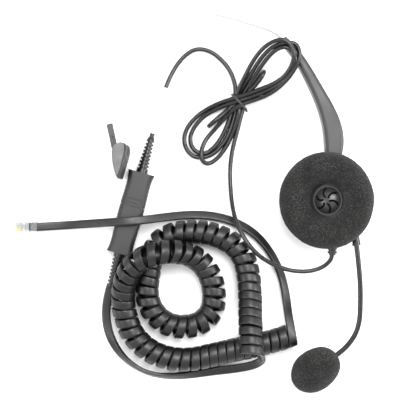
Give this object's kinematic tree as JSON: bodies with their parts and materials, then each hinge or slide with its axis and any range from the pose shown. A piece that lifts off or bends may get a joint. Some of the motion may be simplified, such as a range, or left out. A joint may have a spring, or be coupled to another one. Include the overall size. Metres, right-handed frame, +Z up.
{
  "type": "office headset",
  "caption": "Over-the-head telephone headset with a foam ear capsule, a bendable microphone boom, a tied cable, a quick disconnect and a coiled line cord.",
  "frame": {"origin": "on the surface it lies on, under the middle of the headset without its cords", "axes": "+Z up; +Y from the microphone towards the top of the headband; +X from the temple pad towards the ear capsule"},
  "size_m": [0.1972, 0.2084, 0.043],
  "materials": {
    "arm_plastic": "satin moulded",
    "steel": "satin",
    "band_steel": "pale satin",
    "dark_plastic": "fine grain",
    "pad_rubber": "matt",
    "pad_face": "matt",
    "grille_plastic": "satin",
    "paper_cone": "pressed paper",
    "magnet": "plated",
    "felt": "thin felt",
    "board": "circuit board",
    "foam": "open-cell foam",
    "cable_rubber": "satin",
    "boom_sheath": "satin",
    "element_metal": "plain",
    "tie": "satin",
    "white_sleeve": "matt",
    "connector_plastic": "satin moulded",
    "carrier_plastic": "plain",
    "contacts": "gold plated",
    "cord_rubber": "satin",
    "clear_plastic": "clear"
  },
  "bodies": {
    "arm": {"arm_base": "arm_plastic", "arm_cover": "arm_plastic", "arm_screws": "steel", "slider_spring": "steel", "cable_to_capsule": "cable_rubber", "cable_hank": "cable_rubber", "twist_tie": "tie", "cable_to_connector": "cable_rubber", "label_sleeve": "white_sleeve", "connector_upper_boot": "cable_rubber", "connector_upper_shell": "connector_plastic", "connector_upper_carrier": "carrier_plastic", "connector_upper_contacts": "contacts"},
    "capsule": {"capsule_back_shell": "dark_plastic", "capsule_screws": "steel", "capsule_baffle": "dark_plastic", "speaker_grille": "grille_plastic", "speaker_basket": "dark_plastic", "speaker_cone": "paper_cone", "speaker_magnet": "magnet", "speaker_felt": "felt", "terminal_board": "board", "cushion_ring": "dark_plastic", "ear_cushion": "foam", "swivel_pin": "steel", "cable_boot": "cable_rubber"},
    "boom": {"boom_ring": "dark_plastic", "boom_boot": "cable_rubber", "boom_upper_wire": "boom_sheath"},
    "boom_tip": {"boom_lower_wire": "boom_sheath", "microphone_housing": "dark_plastic", "microphone_element": "element_metal", "microphone_cap": "dark_plastic", "microphone_foam": "foam"},
    "band": {"headband_strip": "band_steel", "band_clip": "dark_plastic", "temple_pad_pin": "steel"},
    "pad": {"temple_pad": "pad_rubber", "temple_pad_face": "pad_face", "temple_pad_core": "dark_plastic"},
    "line_cord": {"connector_lower_shell": "connector_plastic", "connector_lower_carrier": "carrier_plastic", "connector_lower_contacts": "contacts", "connector_lower_boot": "cable_rubber", "line_connector_lead": "cord_rubber", "line_coil": "cord_rubber", "line_plug_lead": "cord_rubber", "plug_body": "clear_plastic", "plug_contacts": "contacts"},
    "latch": {"plug_latch": "clear_plastic"}
  },
  "joints": [
    {"name": "capsule_swivel", "type": "hinge", "parent": "arm", "child": "capsule", "pos_m": [0.051, 0.0017, 0.01132], "axis": [0, 1, 0], "range_deg": [-75, 15]},
    {"name": "boom_turn", "type": "hinge", "parent": "capsule", "child": "boom", "pos_m": [0.051, 0.0017, 0.01132], "axis": [-0.342, 0, 0.9397], "range_deg": [0, 120]},
    {"name": "boom_bend", "type": "hinge", "parent": "boom", "child": "boom_tip", "pos_m": [0.066, -0.0524, 0.0163], "axis": [-0.342, 0, 0.9397], "range_deg": [-5, 40]},
    {"name": "band_slide", "type": "slide", "parent": "arm", "child": "band", "axis": [-0.6028, 0.7961, 0.053], "range_m": [0, 0.018]},
    {"name": "pad_tilt", "type": "hinge", "parent": "band", "child": "pad", "pos_m": [-0.06535, 0.0256, 0.02155], "axis": [0, 0, 1], "range_deg": [-15, 10]},
    {"name": "connector_release", "type": "slide", "parent": "arm", "child": "line_cord", "axis": [-0.2639, -0.9646, 0], "range_m": [0, 0.016]},
    {"name": "latch_press", "type": "hinge", "parent": "line_cord", "child": "latch", "pos_m": [-0.1242, -0.013, 0.002], "axis": [0, -1, 0], "range_deg": [0, 8], "stiffness_Nm_per_rad": 0.02}
  ]
}
